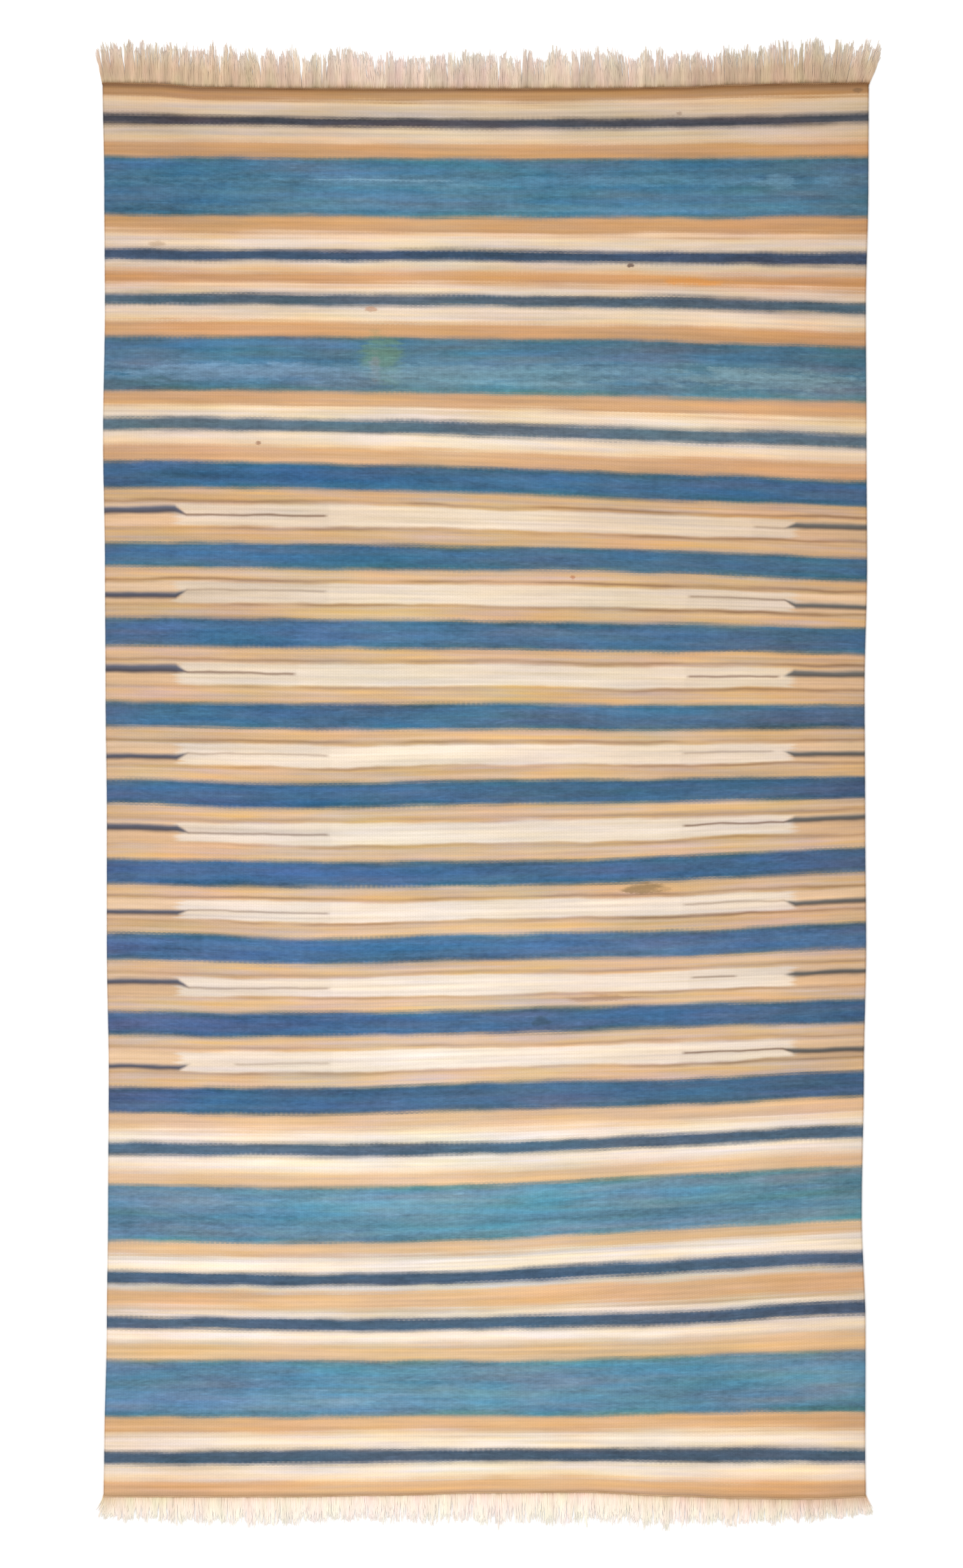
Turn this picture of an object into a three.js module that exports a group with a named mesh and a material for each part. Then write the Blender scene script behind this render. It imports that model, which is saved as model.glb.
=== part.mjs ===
import * as THREE from "three";

// A flat-woven striped cotton rug, lying flat, with a fringe of warp locks at each end.
// Millimetres. X runs across the rug along its wefts, Y along its warps, Z up from the floor.

// Driving dimensions of the woven cloth
const CLOTH_WIDTH = 1196;
const CLOTH_LENGTH = 2208;
const CLOTH_THICKNESS = 4;
const EDGE_ROUNDING = 1.2;

// Driving dimensions of each fringe
const LOCKS_PER_END = 150;
const CLOTH_TO_BACKING_GAP = 0.3;
const BACKING_WIDTH = 7;
const BACKING_HEIGHT = 3.6;
const LOCK_TIP_HEIGHT = 1.6;
const LOCK_TIP_WIDTH = 3;
const LOCK_ROOT_SHARE = 0.72;
const LOCK_MIDDLE_SHARE = 0.6;
const LOCK_MIDDLE_AT = 0.55;
const LOCK_SWAY = 2.4;
const LOCK_UNEVENNESS = 0.13;

// Spacing of the outline's points
const SIDE_STEP = 46;
const END_STEP = 24;

// How far each selvedge stands outside its straight line, from the bottom end (0) to the top (1)
const SELVEDGES = [
  { at: 0.0, left: 2.5, right: -0.5 },
  { at: 0.03, left: 1.5, right: -1.5 },
  { at: 0.12, left: -2.5, right: -1 },
  { at: 0.2, left: -4.5, right: -7 },
  { at: 0.3, left: -5.5, right: -3.5 },
  { at: 0.39, left: -2.5, right: 0 },
  { at: 0.48, left: -2.5, right: -1.5 },
  { at: 0.57, left: -0.5, right: -2.5 },
  { at: 0.66, left: 0.5, right: 1.5 },
  { at: 0.75, left: 3.5, right: 0.5 },
  { at: 0.84, left: 0.5, right: -0.5 },
  { at: 0.93, left: 1.5, right: 3.5 },
  { at: 1.0, left: 4, right: 4 },
];

// How far each woven end stands outside its straight line, from the left side (0) to the right (1)
const ENDS = [
  { at: 0.0, top: 7, bottom: 3 },
  { at: 0.065, top: 6, bottom: 3.5 },
  { at: 0.13, top: 0, bottom: 3.5 },
  { at: 0.25, top: -2, bottom: 3 },
  { at: 0.37, top: -2.5, bottom: 1 },
  { at: 0.5, top: -2.5, bottom: -3 },
  { at: 0.63, top: -2, bottom: -4 },
  { at: 0.75, top: 0, bottom: 2 },
  { at: 0.83, top: 4, bottom: 5.5 },
  { at: 0.92, top: 6, bottom: 7 },
  { at: 1.0, top: 7, bottom: 4 },
];

// Reach of the fringe beyond the cloth, and sideways lean of its tips, from left (0) to right (1)
const TOP_FRINGE = [
  { at: 0.0, reach: 56, lean: -9 },
  { at: 0.04, reach: 60, lean: -2 },
  { at: 0.2, reach: 57, lean: 0 },
  { at: 0.5, reach: 52, lean: 0 },
  { at: 0.78, reach: 50, lean: 0 },
  { at: 0.88, reach: 60, lean: 2 },
  { at: 0.93, reach: 66, lean: 4 },
  { at: 0.97, reach: 61, lean: 9 },
  { at: 1.0, reach: 50, lean: 23 },
];
const BOTTOM_FRINGE = [
  { at: 0.0, reach: 32, lean: -8 },
  { at: 0.05, reach: 40, lean: -2 },
  { at: 0.3, reach: 44, lean: 0 },
  { at: 0.6, reach: 45, lean: 0 },
  { at: 0.85, reach: 42, lean: 1 },
  { at: 0.95, reach: 36, lean: 4 },
  { at: 1.0, reach: 29, lean: 12 },
];

const FINISHES = {
  cloth: { color: 0xbfa98a, roughness: 0.94, metalness: 0 },
  topFringe: { color: 0xcfb99c, roughness: 0.96, metalness: 0 },
  bottomFringe: { color: 0xeaddc4, roughness: 0.96, metalness: 0 },
};

// Value of a column at a place between two rows, blended smoothly
function follow(rows, at, column) {
  let next = 1;
  while (next < rows.length - 1 && rows[next].at < at) {
    next += 1;
  }
  const from = rows[next - 1];
  const to = rows[next];
  const share = THREE.MathUtils.smoothstep(at, from.at, to.at);
  return THREE.MathUtils.lerp(from[column], to[column], share);
}

function leftEdge(along) {
  return -CLOTH_WIDTH / 2 - follow(SELVEDGES, along, "left");
}

function rightEdge(along) {
  return CLOTH_WIDTH / 2 + follow(SELVEDGES, along, "right");
}

// Distance of a woven end from the rug's middle, for a share of the width
function endEdge(across, end) {
  return CLOTH_LENGTH / 2 + follow(ENDS, across, end);
}

// Even shares of a length, about one step apart, from 0 to just before 1
function shares(length, step) {
  const count = Math.round(length / step);
  return Array.from({ length: count }, (_, i) => i / count);
}

// Outline of the cloth: bottom end, right selvedge, top end, left selvedge
function clothOutline() {
  const points = [];
  for (const across of shares(CLOTH_WIDTH, END_STEP)) {
    const x = THREE.MathUtils.lerp(leftEdge(0), rightEdge(0), across);
    points.push(new THREE.Vector2(x, -endEdge(across, "bottom")));
  }
  for (const along of shares(CLOTH_LENGTH, SIDE_STEP)) {
    const y = THREE.MathUtils.lerp(-endEdge(1, "bottom"), endEdge(1, "top"), along);
    points.push(new THREE.Vector2(rightEdge(along), y));
  }
  for (const back of shares(CLOTH_WIDTH, END_STEP)) {
    const x = THREE.MathUtils.lerp(rightEdge(1), leftEdge(1), back);
    points.push(new THREE.Vector2(x, endEdge(1 - back, "top")));
  }
  for (const back of shares(CLOTH_LENGTH, SIDE_STEP)) {
    const y = THREE.MathUtils.lerp(endEdge(0, "top"), -endEdge(0, "bottom"), back);
    points.push(new THREE.Vector2(leftEdge(1 - back), y));
  }
  return points;
}

// The cloth is one flat slab whose selvedges and ends are rounded over
function wovenCloth() {
  const geometry = new THREE.ExtrudeGeometry(new THREE.Shape(clothOutline()), {
    depth: CLOTH_THICKNESS - 2 * EDGE_ROUNDING,
    bevelEnabled: true,
    bevelThickness: EDGE_ROUNDING,
    bevelSize: EDGE_ROUNDING,
    bevelOffset: -EDGE_ROUNDING,
    bevelSegments: 2,
  });
  geometry.translate(0, 0, EDGE_ROUNDING);
  return geometry;
}

// Two uneven rhythms gather the tips of neighbouring locks and vary their lengths
function swayOf(lock) {
  return LOCK_SWAY * (0.6 * Math.sin(1.21 * lock) + 0.4 * Math.sin(0.47 * lock + 1.7));
}

function lengthOf(lock) {
  return 1 + LOCK_UNEVENNESS * (0.6 * Math.sin(2.39 * lock) + 0.4 * Math.sin(0.83 * lock + 0.6));
}

// Outline of one fringe: the backing strip's inner edge, then the locks on its outer edge
function fringeOutline(end, rows) {
  const side = end === "top" ? 1 : -1;
  const corner = end === "top" ? 1 : 0;
  const left = leftEdge(corner);
  const right = rightEdge(corner);
  const pitch = (right - left) / LOCKS_PER_END;
  const points = [];
  const place = (x, out) => {
    const across = THREE.MathUtils.clamp((x - left) / (right - left), 0, 1);
    const edge = endEdge(across, end) + CLOTH_TO_BACKING_GAP;
    return new THREE.Vector2(x, side * (edge + out));
  };

  for (const back of [...shares(CLOTH_WIDTH, END_STEP), 1]) {
    points.push(place(THREE.MathUtils.lerp(right, left, back), 0));
  }
  points.push(place(left, BACKING_WIDTH));

  for (let lock = 0; lock < LOCKS_PER_END; lock += 1) {
    const across = (lock + 0.5) / LOCKS_PER_END;
    const root = left + (lock + 0.5) * pitch;
    const lean = follow(rows, across, "lean");
    const length = follow(rows, across, "reach") * lengthOf(lock) - BACKING_WIDTH;
    const rootHalf = (LOCK_ROOT_SHARE * pitch) / 2;
    const middleHalf = (LOCK_MIDDLE_SHARE * pitch) / 2;
    const middle = root + lean * LOCK_MIDDLE_AT + swayOf(lock) * LOCK_MIDDLE_AT ** 2;
    const tip = root + lean + swayOf(lock);
    const middleOut = BACKING_WIDTH + LOCK_MIDDLE_AT * length;
    const tipOut = BACKING_WIDTH + length;
    points.push(place(root - rootHalf, BACKING_WIDTH));
    points.push(place(middle - middleHalf, middleOut));
    points.push(place(tip - LOCK_TIP_WIDTH / 2, tipOut));
    points.push(place(tip + LOCK_TIP_WIDTH / 2, tipOut));
    points.push(place(middle + middleHalf, middleOut));
    points.push(place(root + rootHalf, BACKING_WIDTH));
  }
  points.push(place(right, BACKING_WIDTH));
  return points;
}

// A fringe lies flat on the floor and thins from its backing strip to the tips of its locks
function fringe(end, rows) {
  const geometry = new THREE.ExtrudeGeometry(new THREE.Shape(fringeOutline(end, rows)), {
    depth: BACKING_HEIGHT,
    bevelEnabled: false,
  });
  const thinFrom = CLOTH_LENGTH / 2 + 2 * BACKING_WIDTH;
  const thinTo = CLOTH_LENGTH / 2 + Math.max(...rows.map((row) => row.reach));
  const position = geometry.getAttribute("position");
  for (let i = 0; i < position.count; i += 1) {
    const share = THREE.MathUtils.mapLinear(Math.abs(position.getY(i)), thinFrom, thinTo, 0, 1);
    const height = THREE.MathUtils.lerp(BACKING_HEIGHT, LOCK_TIP_HEIGHT, THREE.MathUtils.clamp(share, 0, 1));
    if (position.getZ(i) > 0) {
      position.setZ(i, height);
    }
  }
  geometry.computeVertexNormals();
  return geometry;
}

function piece(name, geometry, finish) {
  const mesh = new THREE.Mesh(geometry, new THREE.MeshStandardMaterial(finish));
  mesh.name = name;
  return mesh;
}

const rug = new THREE.Group();
rug.add(piece("woven_cloth", wovenCloth(), FINISHES.cloth));
rug.add(piece("fringe_top", fringe("top", TOP_FRINGE), FINISHES.topFringe));
rug.add(piece("fringe_bottom", fringe("bottom", BOTTOM_FRINGE), FINISHES.bottomFringe));

// The origin is on the floor under the middle of the whole rug, fringes included
const reach = new THREE.Box3().setFromObject(rug);
rug.position.set(-(reach.min.x + reach.max.x) / 2, -(reach.min.y + reach.max.y) / 2, 0);

export default rug;
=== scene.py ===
"""A flat-woven striped cotton rug, lying flat: its woven cloth, its corded selvedges, the twined cord
at each end and the cut warp ends beyond it. Metres; X runs along the wefts, Y along the warps."""

import functools
import math
import random

import bpy
import numpy as np
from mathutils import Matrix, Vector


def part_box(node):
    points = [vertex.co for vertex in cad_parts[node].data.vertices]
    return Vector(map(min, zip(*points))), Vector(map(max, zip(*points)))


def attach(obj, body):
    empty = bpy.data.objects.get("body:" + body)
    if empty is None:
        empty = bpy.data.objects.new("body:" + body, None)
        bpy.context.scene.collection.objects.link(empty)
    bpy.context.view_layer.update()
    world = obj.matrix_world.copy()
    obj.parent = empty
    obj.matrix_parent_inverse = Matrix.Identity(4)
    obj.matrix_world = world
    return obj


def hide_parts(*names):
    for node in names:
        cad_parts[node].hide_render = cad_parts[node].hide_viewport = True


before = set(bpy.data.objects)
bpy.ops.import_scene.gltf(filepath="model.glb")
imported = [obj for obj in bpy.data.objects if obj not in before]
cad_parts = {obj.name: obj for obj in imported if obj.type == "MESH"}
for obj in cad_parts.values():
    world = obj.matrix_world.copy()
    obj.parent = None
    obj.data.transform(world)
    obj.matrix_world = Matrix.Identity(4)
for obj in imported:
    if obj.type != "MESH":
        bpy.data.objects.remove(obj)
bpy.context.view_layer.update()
MM = 0.001
PER_METRE = 1000.0

# The cloth's measures in millimetres, before its edges swing out. It is thinner than its solid, to
# leave room for its ribs and ripples.
CLOTH_WIDTH = 1196
CLOTH_LENGTH = 2208
CLOTH_THICKNESS = 3.6
HALF_WAY_UP = 2.1

# The weave, in millimetres. The last is about the length of the left selvedge, and places down the
# rug are counted in it.
WARPS = 300
WARP_PITCH = CLOTH_WIDTH / WARPS
RIB_HEIGHT = 0.18
BEAD_LENGTH = 2.4
WEFT_LENGTH = 2219

# How finely the cloth is drawn: two columns to a warp, and even rows between its ends
CLOTH_COLUMNS = 2 * WARPS
EVEN_ROWS = 76

# How far each selvedge stands outside its straight line, from the bottom end (0) to the top (1)
SELVEDGES = [
    (0.0, 2.5, -0.5),
    (0.03, 1.5, -1.5),
    (0.12, -2.5, -1),
    (0.2, -4.5, -7),
    (0.3, -5.5, -3.5),
    (0.39, -2.5, 0),
    (0.48, -2.5, -1.5),
    (0.57, -0.5, -2.5),
    (0.66, 0.5, 1.5),
    (0.75, 3.5, 0.5),
    (0.84, 0.5, -0.5),
    (0.93, 1.5, 3.5),
    (1.0, 4, 4),
]

# How far each woven end stands outside its straight line, from the left side (0) to the right (1)
ENDS = [
    (0.0, 7, 3),
    (0.065, 6, 3.5),
    (0.13, 0, 3.5),
    (0.25, -2, 3),
    (0.37, -2.5, 1),
    (0.5, -2.5, -3),
    (0.63, -2, -4),
    (0.75, 0, 2),
    (0.83, 4, 5.5),
    (0.92, 6, 7),
    (1.0, 7, 4),
]

# How far a weft lies below its left end, in millimetres, at these shares of the way across, for wefts
# this far from the top end
BOW_AT = (0.0, 0.03, 0.264, 0.497, 0.73, 0.964, 1.0)
BOW = [
    (56, (0, 0, 4, 7, 5, 0, -1)),
    (160, (0, 0, 3, 6, 5, 4, 3.5)),
    (270, (0, 0, 2, 3, 6, 8, 8.5)),
    (365, (0, 0, 1, 5, 7, 16, 17)),
    (481, (0, 0, 1, 5, 9, 18, 19)),
    (535, (0, 0, 2, 8.5, 18, 27, 28)),
    (613, (0, 0, 2, 9, 21, 29, 30)),
    (740, (0, 0, 2, 6, 11, 22, 24)),
    (860, (0, 0, 2.5, 5.5, 9, 14, 15)),
    (990, (0, 0, 5, 4, 6, 4.5, 5)),
    (1111, (0, 0, 7, 2, -1, -6, -7)),
    (1236, (0, 0, 5.5, 4, -4.5, -16, -18)),
    (1355, (0, 0, 7, 0.5, -3, -16.5, -18)),
    (1475, (0, 0, 3, -2, -11, -18, -19)),
    (1595, (0, 0, 3.5, -5.5, -11, -24, -26)),
    (1675, (0, 0, 2, -0.5, -13, -26, -28)),
    (1775, (0, 0, 3.5, -1.5, -15, -30, -32)),
    (1875, (0, 0, 4.5, -2, -16, -29.5, -31)),
    (1945, (0, 0, 4.5, 2.5, -5, -20.5, -22)),
    (2050, (0, 0, -1, -0.5, -6, -13, -14)),
    (2160, (0, 0, -0.5, -4.5, -3.5, -3.5, -3)),
]

# Bands of coloured wefts on the cream ground, in millimetres from the top end. The orange runs on
# beneath the blues that it borders.
ORANGE_BANDS = [
    (-40, 20), (89, 231), (293, 311), (372, 505), (567, 1641), (1709, 1839), (1893, 1921), (1981, 2120),
    (2195, 2260),
]
NAVY_BANDS = [
    (47, 64), (258, 277), (328, 347), (524, 545), (1663, 1684), (1865, 1886), (1935, 1956), (2148, 2170),
]
SKY_BANDS = [(113, 205), (397, 482), (1731, 1818), (2006, 2096)]
BLUE_BANDS = [
    (593, 635), (721, 759), (839, 883), (970, 1010), (1093, 1132), (1217, 1257), (1335, 1377),
    (1457, 1495), (1576, 1617),
]

# How each weft colour shows at places down the rug, in millimetres from the top end: darker towards the top
CREAM_TONES = [
    (36, (212, 190, 166)), (246, (229, 207, 184)), (555, (241, 220, 198)), (1650, (254, 238, 220)),
    (2183, (254, 234, 211)),
]
PEACH_TONES = [
    (24, (220, 190, 156)), (235, (235, 199, 164)), (285, (220, 186, 153)), (320, (228, 194, 164)),
    (366, (239, 210, 176)), (1645, (250, 222, 190)), (1889, (230, 221, 211)), (1928, (217, 196, 173)),
    (2190, (248, 221, 190)),
]
ORANGE_TONES = [
    (9, (180, 138, 96)), (102, (200, 155, 112)), (220, (208, 161, 116)), (303, (204, 153, 107)),
    (480, (214, 168, 126)), (1630, (234, 196, 158)), (1830, (230, 194, 156)), (1907, (229, 184, 140)),
    (1992, (231, 194, 150)), (2108, (230, 184, 138)), (2208, (229, 182, 136)),
]
NAVY_TONES = [
    (56, (70, 71, 78)), (267, (62, 80, 104)), (336, (80, 98, 111)), (535, (92, 110, 123)),
    (1671, (82, 105, 125)), (1873, (74, 97, 120)), (1945, (76, 97, 119)), (2159, (77, 95, 114)),
]
SKY_TONES = [
    (120, (72, 115, 140)), (200, (78, 121, 146)), (400, (75, 113, 138)), (476, (92, 128, 146)),
    (1740, (102, 147, 167)), (2080, (98, 142, 166)),
]
BLUE_TONES = [
    (612, (64, 105, 139)), (742, (71, 110, 140)), (863, (75, 111, 143)), (991, (74, 109, 138)),
    (1113, (68, 103, 136)), (1238, (70, 106, 143)), (1356, (78, 114, 152)), (1475, (74, 108, 146)),
    (1596, (73, 104, 137)),
]
STRIP_TONES = [
    (640, (213, 177, 139)), (1180, (222, 188, 152)), (1560, (225, 192, 160)),
]
BAR_CREAM_TONES = [
    (678, (233, 211, 187)), (925, (235, 216, 194)), (1052, (244, 224, 203)), (1180, (240, 223, 205)),
    (1550, (247, 229, 211)),
]
TOP_END_BROWN = (144, 104, 69)
BOTTOM_END_BROWN = (206, 166, 128)

# How the cloth's tint changes from selvedge to selvedge, in millimetres from the left one
GROUND_TINTS = [
    (0, (0.94, 0.93, 0.92)), (180, (0.99, 0.985, 0.98)), (520, (1.02, 1.05, 1.06)),
    (760, (0.99, 0.99, 0.98)), (1020, (0.97, 0.96, 0.94)), (1120, (0.93, 0.9, 0.87)),
    (1196, (0.87, 0.84, 0.8)),
]
BLUE_TINTS = [
    (0, (1.06, 0.88, 0.92)), (90, (1.0, 0.97, 1.03)), (300, (0.9, 0.98, 1.06)), (520, (1.0, 1.05, 1.04)),
    (880, (1.12, 1.02, 0.98)), (1000, (1.03, 0.97, 0.95)), (1120, (1.02, 0.93, 0.9)),
    (1196, (0.9, 0.82, 0.82)),
]
SKY_TINTS = [
    (0, (0.88, 0.84, 0.92)), (135, (0.89, 0.92, 0.99)), (330, (1.03, 1.03, 1.05)),
    (550, (1.13, 1.08, 1.02)), (700, (1.0, 1.0, 1.0)), (860, (1.01, 0.99, 0.98)),
    (940, (0.9, 0.94, 0.95)), (1130, (1.01, 0.91, 0.86)), (1196, (0.86, 0.8, 0.76)),
]

# How the cut warps show at their roots and along their length, from the left selvedge
TOP_ROOTS = [
    (0, (203, 179, 149)), (230, (204, 179, 148)), (480, (189, 161, 133)), (850, (209, 182, 154)),
    (915, (183, 156, 132)), (1010, (186, 159, 131)), (1085, (201, 175, 145)), (1196, (197, 168, 140)),
]
TOP_LENGTHS = [
    (0, (202, 175, 149)), (190, (213, 187, 158)), (420, (222, 199, 183)), (850, (218, 196, 175)),
    (930, (201, 175, 152)), (1075, (200, 174, 147)), (1196, (203, 179, 153)),
]
BOTTOM_ROOTS = [
    (0, (212, 184, 150)), (40, (229, 206, 174)), (440, (235, 213, 191)), (785, (235, 206, 178)),
    (1050, (211, 185, 154)), (1196, (220, 186, 160)),
]
BOTTOM_LENGTHS = [
    (0, (220, 202, 168)), (40, (241, 227, 200)), (300, (251, 235, 219)), (785, (252, 234, 216)),
    (1040, (238, 215, 192)), (1196, (216, 185, 161)),
]

# Unevenness of the dye, in layers: how wide and how high its spots are in millimetres, its detail,
# its place in the noise, and its strength in the pale wefts and in the indigo ones
PALE, INDIGO = 0, 1
UNEVENNESS = [
    (420, 6.0, 2.0, 7.0, 0.40, 0.29),
    (120, 9.0, 2.0, 2.6, 0.20, 0.30),
    (480, 26.0, 1.0, 1.3, 0.30, 0.50),
    (260, 70.0, 2.0, 31.0, 0.18, 0.50),
    (44, 14.0, 2.0, 18.0, 0.05, 0.46),
    (10, 4.0, 2.0, 5.0, 0.07, 0.46),
]

# Changes of hue: how wide and how high their patches are, their place in the noise, and the
# red, green and blue shares at either end
PALE_HUES = [
    (190, 15.0, 9.0, (0.965, 1.0, 1.11), (1.03, 0.993, 0.88)),
    (300, 5.0, 23.0, (0.985, 1.0, 1.07), (1.015, 0.998, 0.92)),
    (240, 60.0, 27.0, (1.02, 0.98, 0.99), (0.98, 1.01, 1.0)),
]
INDIGO_HUES = [
    (260, 30.0, 12.0, (1.26, 0.96, 1.0), (0.78, 1.04, 1.02)),
    (190, 15.0, 9.0, (0.85, 0.99, 1.1), (1.18, 1.01, 0.91)),
]

# Marks of wear and spills: place across and along, half width and half height, strength, colour
MARKS = [
    (848, 1268, 36, 8, 0.8, (152, 124, 86)),
    (786, 1443, 56, 6, 0.5, (172, 128, 92)),
    (683, 1478, 15, 8, 0.55, (56, 76, 84)),
    (436, 430, 34, 38, 0.5, (112, 144, 104)),
    (425, 446, 9, 24, 0.4, (150, 140, 150)),
    (930, 303, 50, 6, 0.7, (222, 150, 78)),
    (826, 281, 5, 3, 0.8, (92, 66, 60)),
    (83, 251, 13, 4, 0.5, (168, 138, 108)),
    (419, 351, 9, 4, 0.6, (186, 134, 98)),
    (243, 564, 5, 3, 0.7, (160, 110, 84)),
    (735, 770, 4, 5, 0.6, (176, 106, 66)),
    (1180, 12, 7, 5, 0.5, (112, 88, 66)),
    (900, 40, 5, 3, 0.5, (140, 112, 92)),
    (600, 149, 720, 9, 0.4, (104, 148, 176)),
    (440, 148, 122, 2.2, 0.7, (122, 160, 182)),
    (600, 191, 640, 6, 0.3, (98, 136, 154)),
    (600, 450, 660, 13, 0.4, (126, 162, 180)),
    (600, 1787, 640, 8, 0.5, (82, 126, 152)),
    (1052, 150, 36, 10, 0.4, (118, 156, 176)),
    (560, 158, 60, 9, 0.25, (112, 150, 168)),
    (205, 452, 225, 15, 0.45, (120, 152, 184)),
    (620, 456, 190, 13, 0.4, (118, 154, 168)),
    (1050, 452, 150, 17, 0.42, (132, 160, 166)),
]

# The bars between the blue bands: the cream part's place, as shares of a bar's height
CREAM_FROM = 0.3
CREAM_TO = 0.68
LINE_RUNS_IN = 110

# The dark lines that run into each bar, left ends and then right ends, from the top bar down:
# place at the selvedge, place of the thin line (shares of the bar), half its thickness,
# the thin line's start and stop from the selvedge (millimetres), and the thin line's strength
BAR_LINES = [
    (0.40, 0.495, 5.6, 108, 352, 1.0),
    (0.55, 0.44, 5.0, 120, 350, 0.45),
    (0.41, 0.465, 6.4, 108, 302, 0.95),
    (0.57, 0.48, 4.4, 118, 353, 0.55),
    (0.42, 0.50, 5.4, 108, 353, 0.7),
    (0.57, 0.51, 4.4, 120, 353, 0.6),
    (0.42, 0.51, 4.6, 108, 353, 0.6),
    (0.60, 0.53, 4.0, 195, 353, 0.4),
    (0.42, 0.48, 5.0, 108, 180, 0.5),
    (0.56, 0.45, 4.6, 113, 282, 0.7),
    (0.405, 0.48, 5.4, 130, 282, 0.95),
    (0.535, 0.465, 4.8, 140, 290, 0.45),
    (0.39, 0.44, 4.8, 110, 290, 1.0),
    (0.55, 0.48, 4.6, 120, 290, 0.5),
    (0.45, 0.455, 4.4, 200, 278, 0.7),
    (0.55, 0.495, 4.8, 110, 290, 1.0),
]

# The brown lines along the cream part of each bar, from the top bar down: how strongly the upper and
# the lower one show, and how much more to the right
BAR_OUTLINES = [
    (0.64, 0.56, 0.25), (0.70, 0.68, 0.12), (0.50, 0.42, 0.25), (0.58, 0.54, 0.10), (0.32, 0.40, 0.20),
    (0.50, 0.56, 0.28), (0.30, 0.42, 0.15), (0.38, 0.46, 0.12),
]

# Groups of cut warps beyond each end, as they seem from above: where the group ends across the rug
# (millimetres from the left selvedge), how far it seems to reach and how far it leans to the right
TOP_TUFTS = [
    (26, 59, -3), (58, 56, -1), (70, 66, -1), (76, 45, 0), (90, 62, 0), (96, 51, 0), (111, 68, -1),
    (119, 59, -1), (124, 42, 0), (136, 59, 1), (169, 57, 0), (177, 67, -1), (186, 47, 0), (212, 60, -2),
    (222, 50, 0), (248, 58, -9), (276, 57, -1), (285, 52, 0), (310, 60, -4), (324, 30, 0), (338, 56, 0),
    (350, 36, 0), (406, 62, -1), (428, 58, -6), (442, 34, 0), (456, 58, 0), (476, 48, 0), (512, 50, 0),
    (534, 56, 0), (553, 60, -2), (560, 28, 0), (578, 58, -1), (598, 60, 0), (618, 58, -1), (638, 56, 0),
    (652, 44, 0), (674, 64, 1), (692, 32, 0), (720, 64, 1), (729, 48, 0), (744, 58, 0), (763, 62, 2),
    (768, 44, 0), (784, 64, -2), (816, 60, -6), (826, 35, 0), (840, 45, 0), (858, 63, -2), (866, 40, 0),
    (880, 65, -2), (888, 42, 0), (916, 58, 0), (938, 55, 1), (957, 29, 0), (994, 55, 0), (1016, 58, 1),
    (1023, 36, 0), (1038, 55, -1), (1056, 62, 1), (1076, 68, 0), (1086, 44, 0), (1126, 69, 1),
    (1135, 35, 0), (1148, 66, 0), (1162, 62, 1), (1170, 37, 0), (1186, 64, 4), (1196, 55, 19),
]
BOTTOM_TUFTS = [
    (14, 31, -5), (60, 34, -1), (86, 35, 0), (104, 37, 1), (124, 42, 2), (136, 36, 0), (180, 38, 0),
    (220, 40, 0), (246, 45, 1), (275, 45, -1), (312, 41, 0), (356, 38, 0), (416, 35, 0), (476, 40, 0),
    (536, 43, 0), (580, 42, 0), (612, 46, 0), (626, 55, 1), (634, 44, 0), (686, 42, 0), (698, 50, 1),
    (741, 50, 0), (761, 45, 0), (821, 41, 0), (838, 38, 0), (856, 46, 1), (874, 40, 0), (886, 51, 1),
    (900, 36, 0), (922, 42, 0), (936, 34, 0), (958, 40, 0), (1016, 38, -1), (1034, 32, 0), (1068, 40, 0),
    (1080, 28, 0), (1098, 32, 1), (1116, 35, 5), (1136, 31, 2), (1181, 30, 3), (1196, 25, 12),
]

# The thin tips of cut warps hardly show, so a group reaches further than it seems to: this much
# further up to each place across. A group that falls short of a length keeps a share of the shortfall.
TOP_REACHES_FURTHER = [(26, 3), (320, 4), (430, 2), (1034, 0), (1196, 3)]
BOTTOM_REACHES_FURTHER = [
    (250, 3), (435, 4), (595, 2), (741, 4), (936, 6), (1034, 5), (1136, 2), (1196, 3),
]
SHORTFALL_KEPT = 0.55

# Groups lie against each other, so each is brought nearer the usual reach within this distance
NEIGHBOURS_WITHIN = 130

# The strands that a warp opens into, and more of them near the corners
STRANDS_PER_WARP = 9
CORNER_WARPS = 12
EXTRA_AT_CORNERS = 4

# How the strands leave the cloth: round their warp, from this far inside the end (millimetres)
TWIST_WIDTH = 1.6
TWIST_HEIGHT = 0.7
STARTS_INSIDE = 2.5
UNTWISTED_FROM = 0.5
UNTWISTED_SHARE = 0.6

# How a group's warps and a warp's strands differ, as shares of the group's reach, and how far they
# stray sideways (millimetres)
SHORTER_AT_RIM = 0.1
WARP_REACH = (-0.05, 0.06)
STRAND_REACH = (0.66, 1.14, 1.0)
WARP_STRAYS = 1.1
STRAND_STRAYS = 1.5

# A group's strands draw together towards their tips by this share of its width, and lean with it.
# Every third strand leans less, so that no gap opens at the roots.
PINCH = 0.05
LEANS_LESS_EVERY = 3
LEANS_LESS = 0.3

# The strands' heights above the floor, in millimetres, and the places of their points
STRAND_LEAST_HEIGHT = 0.7
STRAND_HEIGHT = 1.5
TIP_HEIGHT = 0.8
STRAND_POINTS = (0.0, 0.18, 0.45, 0.75, 1.0)

# How finely the yarns of the selvedges and cords, and the strands of the fringe, are drawn, and how
# far a turn goes round the edge warps, in degrees
YARN_SIDES = 6
TURN_JOINTS = 8
TURN_ANGLE = 208
STRAND_SIDES = 5
STRAND_JOINTS = 7

# How the bake maps lay them out: turns and strands beside each other, and the stretches of a cord
TURNS_IN_A_ROW = 32
STRANDS_IN_A_ROW = 40
CORD_STRETCHES = 16

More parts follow.
